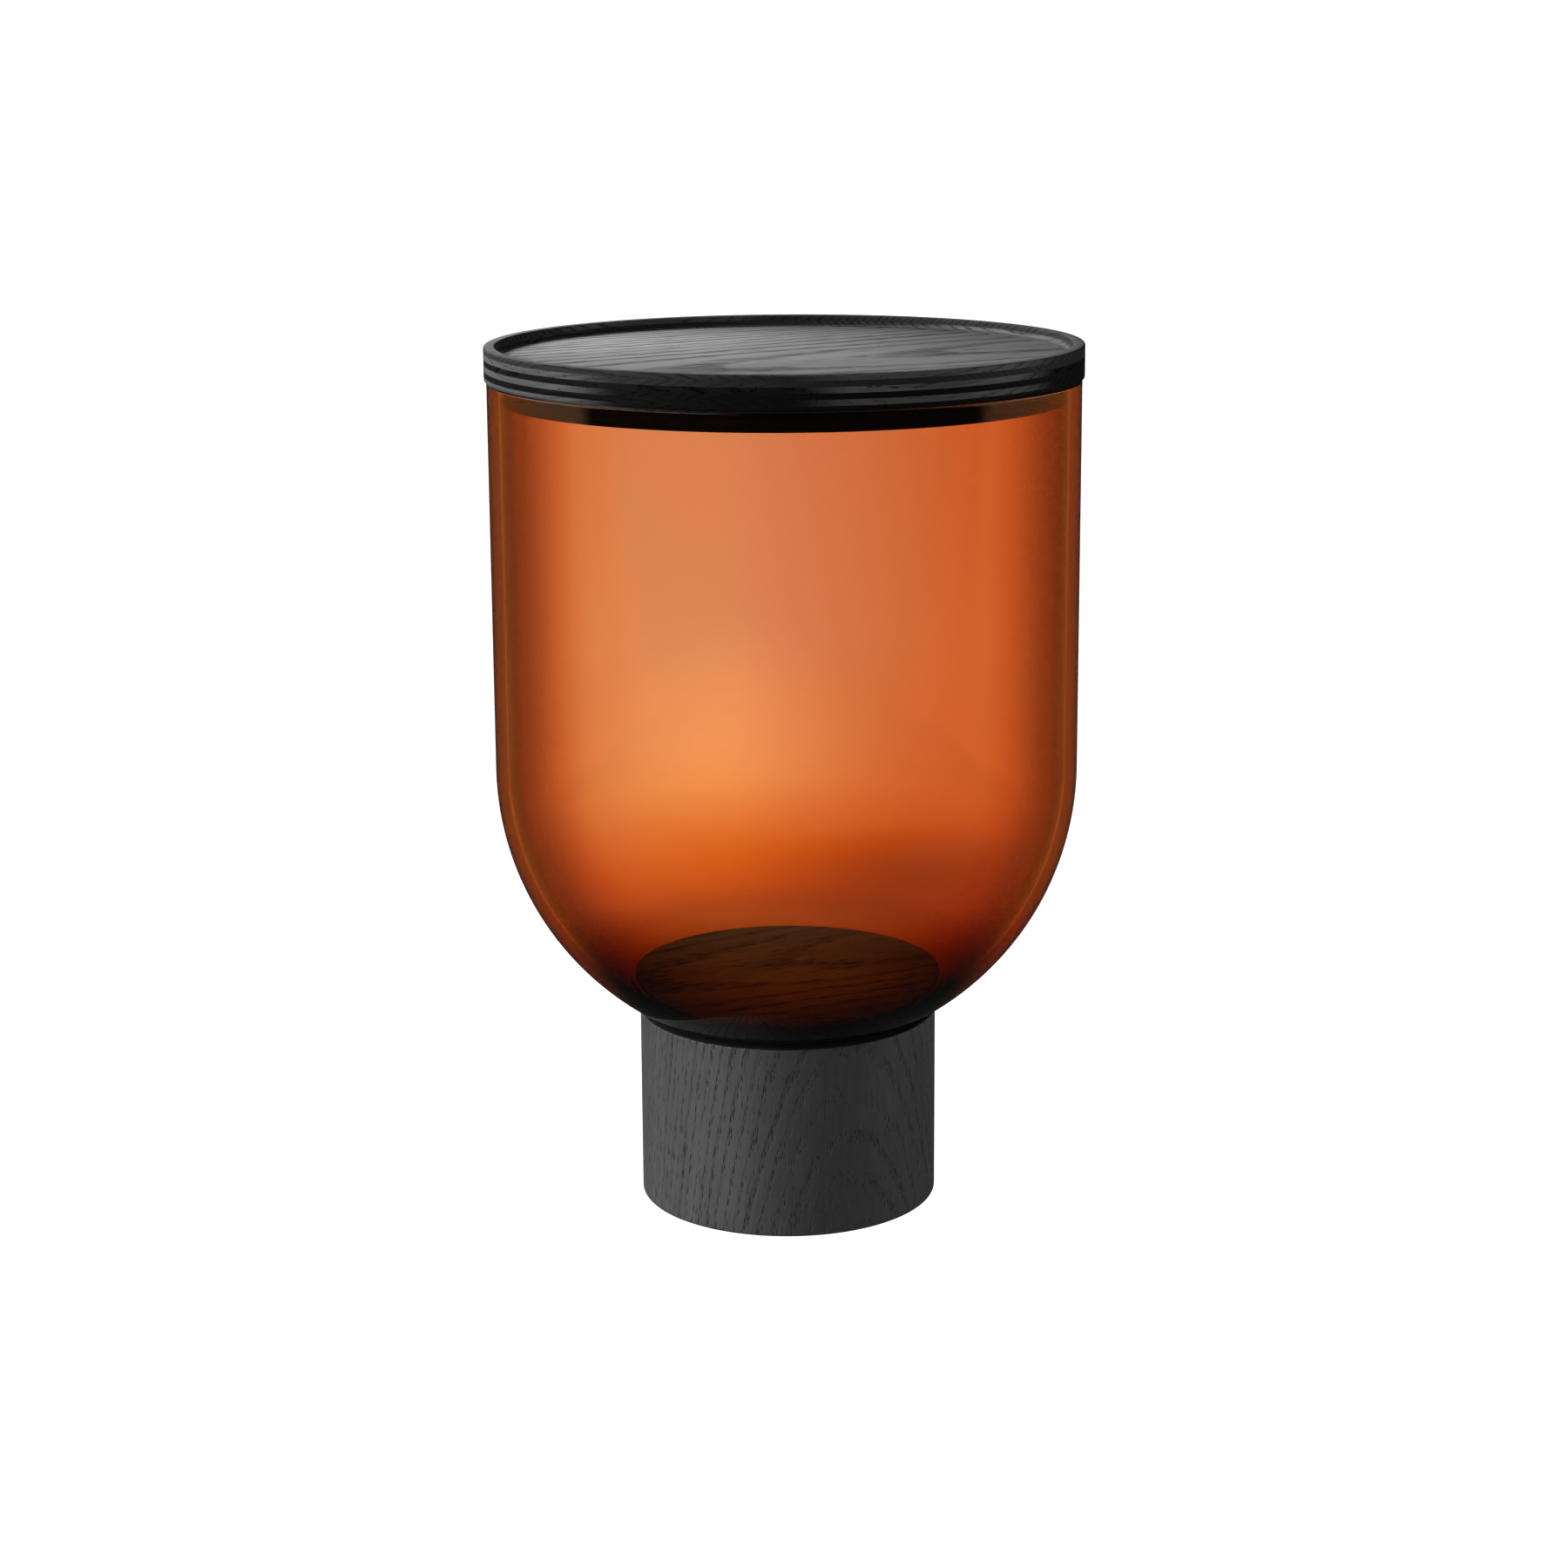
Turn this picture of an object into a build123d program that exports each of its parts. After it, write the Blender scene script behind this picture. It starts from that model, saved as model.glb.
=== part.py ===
from build123d import *
import os
from math import asin, cos, pi, sin, sqrt

# Lidded glass jar on a turned ash base, in millimetres.
# +Z is the jar's axis. The origin is on that axis, in the plane that the jar stands on.

# ---- glass jar ----
jar_diameter = 100.0          # outside of the straight wall
jar_wall = 2.2                # straight wall, and the same at the rim
jar_height = 108.0            # ground underside to rim
ground_flat_diameter = 55.8   # where the bowl's sphere is cut off flat, before its corner is rounded
jar_floor = 2.2               # glass under the flat of the inner floor
heel_radius = 2.0             # outside corner, underside to bowl
floor_radius = 10.0           # inside corner, floor to bowl

# ---- base and the felt under it ----
base_diameter = 51.7
base_height = 33.4            # wood only
base_top_edge = 0.3           # broken edge under the glass
base_foot_edge = 0.5          # broken edge at the foot
foot_pad_margin = 4.35        # edge of the base to edge of the felt
foot_pad_thickness = 1.5
foot_pad_proud = 0.3          # how far the felt stands out of the wood
foot_pad_clearance = 0.15     # felt to the side of its recess

# ---- pad that the glass is stuck down with ----
seat_pad_margin = 2.35        # edge of the base to edge of the pad
seat_pad_thickness = 2.2

# ---- wood disc on the floor of the jar, on a thin glue pad ----
disc_thickness = 1.0
disc_bevel_height = 0.4       # underside bevel that beds in the corner of the glass
disc_clearance = 0.45         # disc to glass, on the radius
disc_glue_margin = 7.5        # edge of the disc's underside to edge of the glue pad
disc_glue_thickness = 0.3

# ---- lid: plies glued face to face, the upper ones cut through as the wall of a tray ----
ply_count = 6
ring_ply_count = 2
ply_thickness = 0.97
lid_overhang = 0.4            # lid beyond the glass, on the radius
tray_wall = 2.0
rim_edge_radius = 0.35        # rounded top edges of the rim
lid_foot_radius = 0.45        # rounded lower edge of the lid
cove_land = 0.07              # straight wall above the cove, in the lower ring ply
cove_lip = 0.1                # thickness left at the foot of the cove

# ---- plug and seal ----
plug_clearance = 0.35         # plug to glass, on the radius
plug_depth = 3.4
plug_edge = 0.4
seal_groove_depth = 1.2       # into the side of the plug
seal_groove_height = 1.4
seal_groove_drop = 1.0        # underside of the lid to the top of the groove
seal_clearance = 0.12         # seal to glass, on the radius
seal_lip_radius = 0.2         # rounded outer edges of the seal

# ---- radii that follow ----
jar_radius = jar_diameter / 2
bore_radius = jar_radius - jar_wall
base_radius = base_diameter / 2
foot_pad_radius = base_radius - foot_pad_margin
foot_recess_radius = foot_pad_radius + foot_pad_clearance
seat_pad_radius = base_radius - seat_pad_margin
lid_radius = jar_radius + lid_overhang
tray_radius = lid_radius - tray_wall
plug_radius = bore_radius - plug_clearance
groove_radius = plug_radius - seal_groove_depth
seal_radius = bore_radius - seal_clearance

# ---- heights that follow ----
foot_recess_depth = foot_pad_thickness - foot_pad_proud
base_bottom = foot_pad_proud
base_top = base_bottom + base_height
jar_bottom = base_top + seat_pad_thickness
jar_rim = jar_bottom + jar_height
bowl_centre = jar_bottom + sqrt(jar_radius**2 - (ground_flat_diameter / 2) ** 2)
inner_floor = jar_bottom + jar_floor
disc_bottom = inner_floor + disc_glue_thickness
ply_bottoms = [jar_rim + index * ply_thickness for index in range(ply_count)]
tray_floor = ply_bottoms[ply_count - ring_ply_count]
plug_bottom = jar_rim - plug_depth
groove_bottom = jar_rim - seal_groove_drop - seal_groove_height

os.makedirs("parts", exist_ok=True)


def corner_circle(bowl_radius, bowl_height, flat_height, corner_radius):
    """Where a rounded corner between a flat and a bowl has its centre: (radius, height, angle).

    The angle, in radians below level, is the direction in which the corner meets the bowl.
    """
    inset = bowl_radius - corner_radius
    drop = bowl_height - flat_height - corner_radius
    return sqrt(inset**2 - drop**2), flat_height + corner_radius, asin(drop / inset)


def on_circle(centre_radius, centre_height, size, angle):
    """Point on a circle in the half section, at an angle in radians above level."""
    return (centre_radius + size * cos(angle), centre_height + size * sin(angle))


def circle_edges(part, radius):
    """Circular edges of one radius, from the lowest to the highest."""
    edges = part.edges().filter_by(GeomType.CIRCLE)
    return edges.filter_by(lambda edge: abs(edge.radius - radius) < 0.01).sort_by(Axis.Z)


# ---- glass jar: ground flat, round bottom, straight wall and fire-polished rim ----
heel_centre, heel_height, heel_angle = corner_circle(
    jar_radius, bowl_centre, jar_bottom, heel_radius
)
heel_middle = on_circle(heel_centre, heel_height, heel_radius, -(heel_angle + pi / 2) / 2)
heel_join = on_circle(0, bowl_centre, jar_radius, -heel_angle)
bowl_middle = on_circle(0, bowl_centre, jar_radius, -heel_angle / 2)

floor_centre, floor_height, floor_angle = corner_circle(
    bore_radius, bowl_centre, inner_floor, floor_radius
)
floor_middle = on_circle(floor_centre, floor_height, floor_radius, -(floor_angle + pi / 2) / 2)
floor_join = on_circle(0, bowl_centre, bore_radius, -floor_angle)
inner_middle = on_circle(0, bowl_centre, bore_radius, -floor_angle / 2)

rim_height = jar_rim - jar_wall / 2

with BuildPart() as glass_jar:
    with BuildSketch(Plane.XZ):
        with BuildLine():
            Line((0, jar_bottom), (heel_centre, jar_bottom))
            ThreePointArc((heel_centre, jar_bottom), heel_middle, heel_join)
            ThreePointArc(heel_join, bowl_middle, (jar_radius, bowl_centre))
            Line((jar_radius, bowl_centre), (jar_radius, rim_height))
            ThreePointArc(
                (jar_radius, rim_height),
                (jar_radius - jar_wall / 2, jar_rim),
                (bore_radius, rim_height),
            )
            Line((bore_radius, rim_height), (bore_radius, bowl_centre))
            ThreePointArc((bore_radius, bowl_centre), inner_middle, floor_join)
            ThreePointArc(floor_join, floor_middle, (floor_centre, inner_floor))
            Line((floor_centre, inner_floor), (0, inner_floor))
            Line((0, inner_floor), (0, jar_bottom))
        make_face()
    revolve(axis=Axis.Z)

glass_jar.part.label = "glass_jar"
export_step(glass_jar.part, "parts/glass_jar.step")


# ---- base: one turned block, recessed underneath for its felt ----
with BuildPart() as base_block:
    with BuildSketch(Plane.XY.offset(base_bottom)):
        Circle(base_radius)
    extrude(amount=base_height)
    chamfer(circle_edges(base_block, base_radius)[-1], length=base_top_edge)
    chamfer(circle_edges(base_block, base_radius)[0], length=base_foot_edge)
    with BuildSketch(Plane.XY.offset(base_bottom)):
        Circle(foot_recess_radius)
    extrude(amount=foot_recess_depth, mode=Mode.SUBTRACT)

base_block.part.label = "base_block"
export_step(base_block.part, "parts/base_block.step")


# ---- felt under the base ----
with BuildPart() as foot_pad:
    with BuildSketch():
        Circle(foot_pad_radius)
    extrude(amount=foot_pad_thickness)

foot_pad.part.label = "foot_pad"
export_step(foot_pad.part, "parts/foot_pad.step")


# ---- black pad between the base and the glass ----
with BuildPart() as seat_pad:
    with BuildSketch(Plane.XY.offset(base_top)):
        Circle(seat_pad_radius)
    extrude(amount=seat_pad_thickness)

seat_pad.part.label = "seat_pad"
export_step(seat_pad.part, "parts/seat_pad.step")


# ---- wood disc inside the jar, bevelled to bed in the corner of the glass ----
def inside_corner_radius(height):
    """Radius of the glass's inside corner at a height."""
    return floor_centre + sqrt(floor_radius**2 - (floor_height - height) ** 2)


disc_top = disc_bottom + disc_thickness
disc_bevel_top = disc_bottom + disc_bevel_height
disc_radius = inside_corner_radius(disc_bevel_top) - disc_clearance
disc_under_radius = inside_corner_radius(disc_bottom) - disc_clearance

with BuildPart() as floor_disc:
    with BuildSketch(Plane.XZ):
        with BuildLine():
            Polyline(
                (0, disc_bottom),
                (disc_under_radius, disc_bottom),
                (disc_radius, disc_bevel_top),
                (disc_radius, disc_top),
                (0, disc_top),
                close=True,
            )
        make_face()
    revolve(axis=Axis.Z)

floor_disc.part.label = "floor_disc"
export_step(floor_disc.part, "parts/floor_disc.step")


# ---- glue pad under the wood disc ----
with BuildPart() as disc_glue_pad:
    with BuildSketch(Plane.XY.offset(inner_floor)):
        Circle(disc_under_radius - disc_glue_margin)
    extrude(amount=disc_glue_thickness)

disc_glue_pad.part.label = "disc_glue_pad"
export_step(disc_glue_pad.part, "parts/disc_glue_pad.step")


# ---- whole plies of the lid, from the one that rests on the glass ----
for index in range(ply_count - ring_ply_count):
    with BuildPart() as whole_ply:
        with BuildSketch(Plane.XY.offset(ply_bottoms[index])):
            Circle(lid_radius)
        extrude(amount=ply_thickness)
        if index == 0:
            fillet(circle_edges(whole_ply, lid_radius)[0], radius=lid_foot_radius)
    whole_ply.part.label = f"lid_ply_{index + 1}"
    export_step(whole_ply.part, f"parts/lid_ply_{index + 1}.step")


# ---- lower ring ply: the tray's wall, with a cove down to the tray's floor ----
cove_radius = ply_thickness - cove_land - cove_lip
cove_top = tray_floor + cove_lip + cove_radius
cove_centre = tray_radius - cove_radius
cove_middle = on_circle(cove_centre, cove_top, cove_radius, -pi / 4)
cove_ply_top = tray_floor + ply_thickness

with BuildPart() as cove_ply:
    with BuildSketch(Plane.XZ):
        with BuildLine():
            Line((cove_centre, tray_floor), (lid_radius, tray_floor))
            Line((lid_radius, tray_floor), (lid_radius, cove_ply_top))
            Line((lid_radius, cove_ply_top), (tray_radius, cove_ply_top))
            Line((tray_radius, cove_ply_top), (tray_radius, cove_top))
            ThreePointArc(
                (tray_radius, cove_top), cove_middle, (cove_centre, tray_floor + cove_lip)
            )
            Line((cove_centre, tray_floor + cove_lip), (cove_centre, tray_floor))
        make_face()
    revolve(axis=Axis.Z)

cove_ply_name = f"lid_ply_{ply_count - ring_ply_count + 1}"
cove_ply.part.label = cove_ply_name
export_step(cove_ply.part, f"parts/{cove_ply_name}.step")


# ---- top ring ply, with the rim's rounded edges ----
with BuildPart() as top_ply:
    with BuildSketch(Plane.XY.offset(ply_bottoms[-1])):
        Circle(lid_radius)
        Circle(tray_radius, mode=Mode.SUBTRACT)
    extrude(amount=ply_thickness)
    fillet(circle_edges(top_ply, lid_radius)[-1], radius=rim_edge_radius)
    fillet(circle_edges(top_ply, tray_radius)[-1], radius=rim_edge_radius)

top_ply.part.label = f"lid_ply_{ply_count}"
export_step(top_ply.part, f"parts/lid_ply_{ply_count}.step")


# ---- plug under the lid, grooved for its seal ----
with BuildPart() as lid_plug:
    with BuildSketch(Plane.XY.offset(plug_bottom)):
        Circle(plug_radius)
    extrude(amount=plug_depth)
    chamfer(circle_edges(lid_plug, plug_radius)[0], length=plug_edge)
    with BuildSketch(Plane.XY.offset(groove_bottom)):
        Circle(plug_radius)
        Circle(groove_radius, mode=Mode.SUBTRACT)
    extrude(amount=seal_groove_height, mode=Mode.SUBTRACT)

lid_plug.part.label = "lid_plug"
export_step(lid_plug.part, "parts/lid_plug.step")


# ---- soft seal in the plug's groove ----
with BuildPart() as seal_ring:
    with BuildSketch(Plane.XY.offset(groove_bottom)):
        Circle(seal_radius)
        Circle(groove_radius, mode=Mode.SUBTRACT)
    extrude(amount=seal_groove_height)
    fillet(circle_edges(seal_ring, seal_radius), radius=seal_lip_radius)

seal_ring.part.label = "seal_ring"
export_step(seal_ring.part, "parts/seal_ring.step")
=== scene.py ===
"""A lidded amber glass jar on a turned black ash base, dressed for a soft studio.

Every piece is lathed in place, so its object sits at the origin, and its patterns read
Object coordinates, which are the shared frame's metres.
"""

from __future__ import annotations

import logging
import math
from collections.abc import Sequence
from dataclasses import dataclass, field, replace
from enum import Enum

import bmesh
import bpy
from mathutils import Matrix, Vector

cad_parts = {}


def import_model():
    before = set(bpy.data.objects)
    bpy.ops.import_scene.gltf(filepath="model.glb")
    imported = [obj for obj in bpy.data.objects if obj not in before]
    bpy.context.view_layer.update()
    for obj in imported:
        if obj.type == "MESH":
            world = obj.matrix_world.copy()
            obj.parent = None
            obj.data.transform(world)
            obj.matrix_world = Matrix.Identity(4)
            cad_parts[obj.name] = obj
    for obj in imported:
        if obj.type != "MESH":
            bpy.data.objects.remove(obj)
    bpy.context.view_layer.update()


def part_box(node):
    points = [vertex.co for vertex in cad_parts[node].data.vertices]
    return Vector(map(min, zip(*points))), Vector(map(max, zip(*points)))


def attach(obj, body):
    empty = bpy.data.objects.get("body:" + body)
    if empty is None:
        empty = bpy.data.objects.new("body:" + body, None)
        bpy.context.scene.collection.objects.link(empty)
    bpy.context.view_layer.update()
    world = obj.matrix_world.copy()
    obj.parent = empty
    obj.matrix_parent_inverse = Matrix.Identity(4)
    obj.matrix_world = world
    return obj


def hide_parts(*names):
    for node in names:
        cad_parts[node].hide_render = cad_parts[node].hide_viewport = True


log = logging.getLogger("candle_jar")

MM = 0.001
MERGE_DISTANCE = 1e-7
WHITE = (1.0, 1.0, 1.0)
BLACK = (0.0, 0.0, 0.0)

# Grains to a millimetre across, through and along the fibres of the wood.
DRIFT_SCALE = (0.045, 0.045, 0.012)
WAVER_SCALE = (0.5, 0.5, 0.06)
FIBRE_SCALE = (5.0, 5.0, 0.22)
STREAK_SCALE = (0.9, 0.9, 0.03)
PATCH_SCALE = (0.12, 0.12, 0.02)

# How a pattern turns into a share: what it is multiplied by, then what is added.
RING_LUCK = (0.6, 0.55)
FIBRE_TONE = (0.5, 0.75)
STREAK_TONE = (0.6, 0.7)
PATCH_TONE = (0.5, 0.75)

# Where in a ring the open early wood fades out, and where the next ring's begins.
EARLY_FADE = (0.45, 0.12)
NEXT_RING = (0.94, 1.0)

Profile = list[tuple[float, float]]
Rgb = tuple[float, float, float]
Socket = bpy.types.NodeSocket
Value = float | Sequence[float] | bpy.types.NodeSocket


# ---------------------------------------------------------------- shader graphs


class Graph:
    """A thin typed wrapper that adds and joins nodes in one node tree."""

    def __init__(self, tree: bpy.types.NodeTree) -> None:
        """Empties the tree.

        Args:
            tree: The node tree that every node is added to.
        """
        self.tree = tree
        self.tree.nodes.clear()

    def node(self, kind: str, **settings: object) -> bpy.types.Node:
        """Adds one node.

        Args:
            kind: The node's type, such as "ShaderNodeMath".
            **settings: Properties of the node to set, by name.

        Returns:
            The new node.
        """
        made = self.tree.nodes.new(kind)
        for name, value in settings.items():
            setattr(made, name, value)
        return made

    def put(self, socket: Socket, value: Value) -> None:
        """Sets an input, or joins it to another node's output.

        Args:
            socket: The input.
            value: A number, a colour or vector, or an output socket.
        """
        if isinstance(value, bpy.types.NodeSocket):
            self.tree.links.new(value, socket)
        elif isinstance(value, (int, float)) or len(value) == len(socket.default_value):
            socket.default_value = value
        else:
            socket.default_value = (*value, 1.0)

    def math(self, operation: str, *values: Value) -> Socket:
        """Adds a Math node.

        Args:
            operation: The node's operation.
            *values: Its inputs, in order.

        Returns:
            Its output.
        """
        made = self.node("ShaderNodeMath", operation=operation)
        for socket, value in zip(made.inputs, values):
            self.put(socket, value)
        return made.outputs[0]

    def clamped(self, value: Value, low: float, high: float) -> Socket:
        """Maps low to 0 and high to 1, smoothly, and holds it there outside them.

        Args:
            value: What is mapped.
            low: The value that gives 0.
            high: The value that gives 1. It may be below low.

        Returns:
            A number from 0 to 1.
        """
        made = self.node("ShaderNodeMapRange", interpolation_type="SMOOTHSTEP")
        flipped = low > high
        self.put(made.inputs["Value"], value)
        self.put(made.inputs["From Min"], min(low, high))
        self.put(made.inputs["From Max"], max(low, high))
        self.put(made.inputs["To Min"], 1.0 if flipped else 0.0)
        self.put(made.inputs["To Max"], 0.0 if flipped else 1.0)
        return made.outputs["Result"]

    def vector(self, operation: str, *values: Value) -> bpy.types.Node:
        """Adds a Vector Math node.

        Args:
            operation: The node's operation.
            *values: Its vector inputs, in order.

        Returns:
            The node.
        """
        made = self.node("ShaderNodeVectorMath", operation=operation)
        for socket, value in zip(made.inputs, values):
            self.put(socket, value)
        return made

    def dot(self, a: Value, b: Value) -> Socket:
        """Dot product of two vectors.

        Args:
            a: One vector.
            b: The other.

        Returns:
            A number.
        """
        return self.vector("DOT_PRODUCT", a, b).outputs["Value"]

    def stretched(self, place: Socket, along: Sequence[float]) -> Socket:
        """A place multiplied axis by axis.

        Args:
            place: The vector.
            along: What each axis is multiplied by.

        Returns:
            The stretched vector.
        """
        return self.vector("MULTIPLY", place, along).outputs["Vector"]

    def noise(self, place: Socket, along: Sequence[float], detail: float = 2.0) -> Socket:
        """Smooth noise about 0.5.

        Args:
            place: Where it is read.
            along: How many grains to a unit, axis by axis.
            detail: Its octaves.

        Returns:
            A number from about 0.2 to 0.8.
        """
        made = self.node("ShaderNodeTexNoise", noise_dimensions="3D")
        self.put(made.inputs["Vector"], self.stretched(place, along))
        self.put(made.inputs["Scale"], 1.0)
        self.put(made.inputs["Detail"], detail)
        return made.outputs["Fac"]

    def ramp(self, value: Socket, stops: Sequence[tuple[float, Rgb]]) -> Socket:
        """A Color Ramp.

        Args:
            value: What is looked up, from 0 to 1.
            stops: (position, linear colour), from the lowest position up.

        Returns:
            The colour.
        """
        made = self.node("ShaderNodeValToRGB")
        elements = made.color_ramp.elements
        while len(elements) < len(stops):
            elements.new(1.0)
        for element, (position, colour) in zip(elements, stops):
            element.position = position
            element.color = (*colour, 1.0)
        self.put(made.inputs["Fac"], value)
        return made.outputs["Color"]

    def blend(self, share: Value, a: Value, b: Value, kind: str = "MIX") -> Socket:
        """Mixes two colours.

        Args:
            share: How much of b.
            a: The colour at 0.
            b: The colour at 1.
            kind: The blend type.

        Returns:
            The mixed colour.
        """
        factor, first_colour, second_colour, mixed_colour = 0, 6, 7, 2
        made = self.node("ShaderNodeMix", data_type="RGBA", blend_type=kind)
        self.put(made.inputs[factor], share)
        self.put(made.inputs[first_colour], a)
        self.put(made.inputs[second_colour], b)
        return made.outputs[mixed_colour]


def new_material(name: str) -> tuple[bpy.types.Material, Graph, bpy.types.Node]:
    """Makes a material with one Principled shader.

    Args:
        name: The material's name.

    Returns:
        The material, its graph and the shader.
    """
    material = bpy.data.materials.new(name)
    material.use_nodes = True
    graph = Graph(material.node_tree)
    shader = graph.node("ShaderNodeBsdfPrincipled")
    output = graph.node("ShaderNodeOutputMaterial")
    graph.put(output.inputs["Surface"], shader.outputs["BSDF"])
    return material, graph, shader


# -------------------------------------------------------------------- finishes


@dataclass(frozen=True)
class PlainFinish:
    """One colour with a fine uneven surface, for paint, rubber, silicone, gel and felt.

    The grain is in grains to a millimetre and the relief in millimetres.
    """

    name: str
    colour: Rgb
    roughness: float
    specular: float
    grain: float
    relief: float
    sheen: float = 0.0
    unevenness: float = 0.25

    def material(self) -> bpy.types.Material:
        """Builds the material.

        Returns:
            The material.
        """
        material, graph, shader = new_material(self.name)
        place = graph.node("ShaderNodeTexCoord").outputs["Object"]
        texture = graph.noise(place, (self.grain / MM,) * 3, 3.0)
        light = tuple((1 + self.unevenness) * c for c in self.colour)
        dark = tuple((1 - self.unevenness) * c for c in self.colour)
        colour = graph.ramp(texture, [(0.3, dark), (0.7, light)])
        graph.put(shader.inputs["Base Color"], colour)
        bump = graph.node("ShaderNodeBump")
        graph.put(bump.inputs["Distance"], self.relief * MM)
        graph.put(bump.inputs["Height"], texture)
        graph.put(shader.inputs["Normal"], bump.outputs["Normal"])
        graph.put(shader.inputs["Roughness"], self.roughness)
        graph.put(shader.inputs["Specular IOR Level"], self.specular)
        graph.put(shader.inputs["Sheen Weight"], self.sheen)
        return material


def level_direction(degrees: float) -> tuple[float, float, float]:
    """A level direction, turned from the X axis towards the Y axis.

    Args:
        degrees: How far it is turned.

    Returns:
        A vector of length 1.
    """
    return (math.cos(math.radians(degrees)), math.sin(math.radians(degrees)), 0.0)


class Grain(Enum):
    """Which way a piece's wood fibres run, in the shared frame."""

    UPRIGHT = (0.0, 0.0, 1.0)
    LONG_PLY = level_direction(120)
    END_PLY = level_direction(30)
    DISC = level_direction(27)


@dataclass(frozen=True)
class StainedWood:
    """Black-stained ring-porous wood, cut from growth rings about a pith line.

    Lengths are in millimetres. The pith line runs along the grain, tilted a little, and
    passes through pith. Each ring starts with a row of open pores. The end grain, where
    the surface faces along the fibres, takes more stain and is darker.
    """

    name: str
    grain: Grain
    colour: Rgb
    pith: tuple[float, float, float]
    tilt: tuple[float, float, float] = (0.0, 0.0, 0.0)
    ring: float = 1.4
    wander: float = 2.0
    waver: float = 0.55
    pore: float = 0.34
    pore_length: float = 3.2
    pore_depth: float = 0.7
    pore_share: float = 0.2
    pore_wall: tuple[float, float] = (0.5, 0.22)
    relief: float = 0.12
    fine_relief: float = 0.22
    end_shade: float = 0.5
    end_range: tuple[float, float] = (0.35, 0.8)
    ring_shade: float = 0.25
    roughness: float = 0.55
    early_roughness: float = 0.25
    pit_roughness: float = 0.3
    specular: float = 0.4

    def axes(self) -> tuple[Vector, Vector, Vector]:
        """Directions across, through and along the grain.

        Returns:
            Three unit vectors at right angles.
        """
        along = (Vector(self.grain.value) + Vector(self.tilt)).normalized()
        near = Vector((0, 0, 1)) if abs(along.z) < 0.7 else Vector((0, 1, 0))
        across = near.cross(along).normalized()
        return across, along.cross(across), along

    def grain_place(self, graph: Graph, place: Socket) -> Socket:
        """A place measured from the pith line.

        Args:
            graph: The material's graph.
            place: Object coordinates, in metres.

        Returns:
            The place across, through and along the grain, in millimetres.
        """
        pith = tuple(MM * x for x in self.pith)
        moved = graph.vector("SUBTRACT", place, pith).outputs["Vector"]
        combine = graph.node("ShaderNodeCombineXYZ")
        for socket, axis in zip(combine.inputs, self.axes()):
            graph.put(socket, graph.dot(moved, tuple(axis / MM)))
        return combine.outputs["Vector"]

    def early_wood(self, graph: Graph, place: Socket) -> Socket:
        """The open wood that each growth ring starts with.

        Args:
            graph: The material's graph.
            place: Where, as grain_place gives it.

        Returns:
            0 in the dense late wood, and up to about 1.15 in the early wood.
        """
        flat = graph.stretched(place, (1.0, 1.0, 0.0))
        radius = graph.vector("LENGTH", flat).outputs["Value"]
        drift = graph.noise(place, DRIFT_SCALE)
        waver = graph.noise(place, WAVER_SCALE)
        shifted = graph.math("MULTIPLY_ADD", drift, 2 * self.wander, radius)
        shifted = graph.math("MULTIPLY_ADD", waver, self.waver * self.ring, shifted)
        turns = graph.math("DIVIDE", shifted, self.ring)
        phase = graph.math("FRACT", turns)
        which = graph.math("FLOOR", turns)
        chance = graph.node("ShaderNodeTexWhiteNoise", noise_dimensions="1D")
        graph.put(chance.inputs["W"], which)
        fading = graph.clamped(phase, *EARLY_FADE)
        early = graph.math("ADD", fading, graph.clamped(phase, *NEXT_RING))
        luck = graph.math("MULTIPLY_ADD", chance.outputs["Value"], *RING_LUCK)
        return graph.math("MULTIPLY", early, luck)

    def open_pores(self, graph: Graph, place: Socket, early: Socket) -> Socket:
        """Long narrow pits, most of them in the early wood.

        Args:
            graph: The material's graph.
            place: Where, as grain_place gives it.
            early: The early wood there.

        Returns:
            1 in a pit and 0 outside.
        """
        cells = graph.node("ShaderNodeTexVoronoi", voronoi_dimensions="3D", feature="F1")
        to_cells = (1 / self.pore, 1 / self.pore, 1 / self.pore_length)
        graph.put(cells.inputs["Vector"], graph.stretched(place, to_cells))
        graph.put(cells.inputs["Scale"], 1.0)
        hollow = graph.clamped(cells.outputs["Distance"], *self.pore_wall)
        chance = graph.node("ShaderNodeSeparateColor")
        graph.put(chance.inputs["Color"], cells.outputs["Color"])
        rare = 1.15 - self.pore_share
        total = graph.math("ADD", early, chance.outputs["Red"])
        return graph.math("MULTIPLY", hollow, graph.clamped(total, rare, rare + 0.2))

    def material(self) -> bpy.types.Material:
        """Builds the material.

        Returns:
            The material.
        """
        material, graph, shader = new_material(self.name)
        coordinates = graph.node("ShaderNodeTexCoord")
        place = self.grain_place(graph, coordinates.outputs["Object"])
        early = self.early_wood(graph, place)
        pits = self.open_pores(graph, place, early)
        fibres = graph.noise(place, FIBRE_SCALE, 3.0)
        streaks = graph.noise(place, STREAK_SCALE)
        patches = graph.noise(place, PATCH_SCALE, 1.0)
        facing = graph.dot(coordinates.outputs["Normal"], self.grain.value)
        end = graph.clamped(graph.math("ABSOLUTE", facing), *self.end_range)

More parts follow.
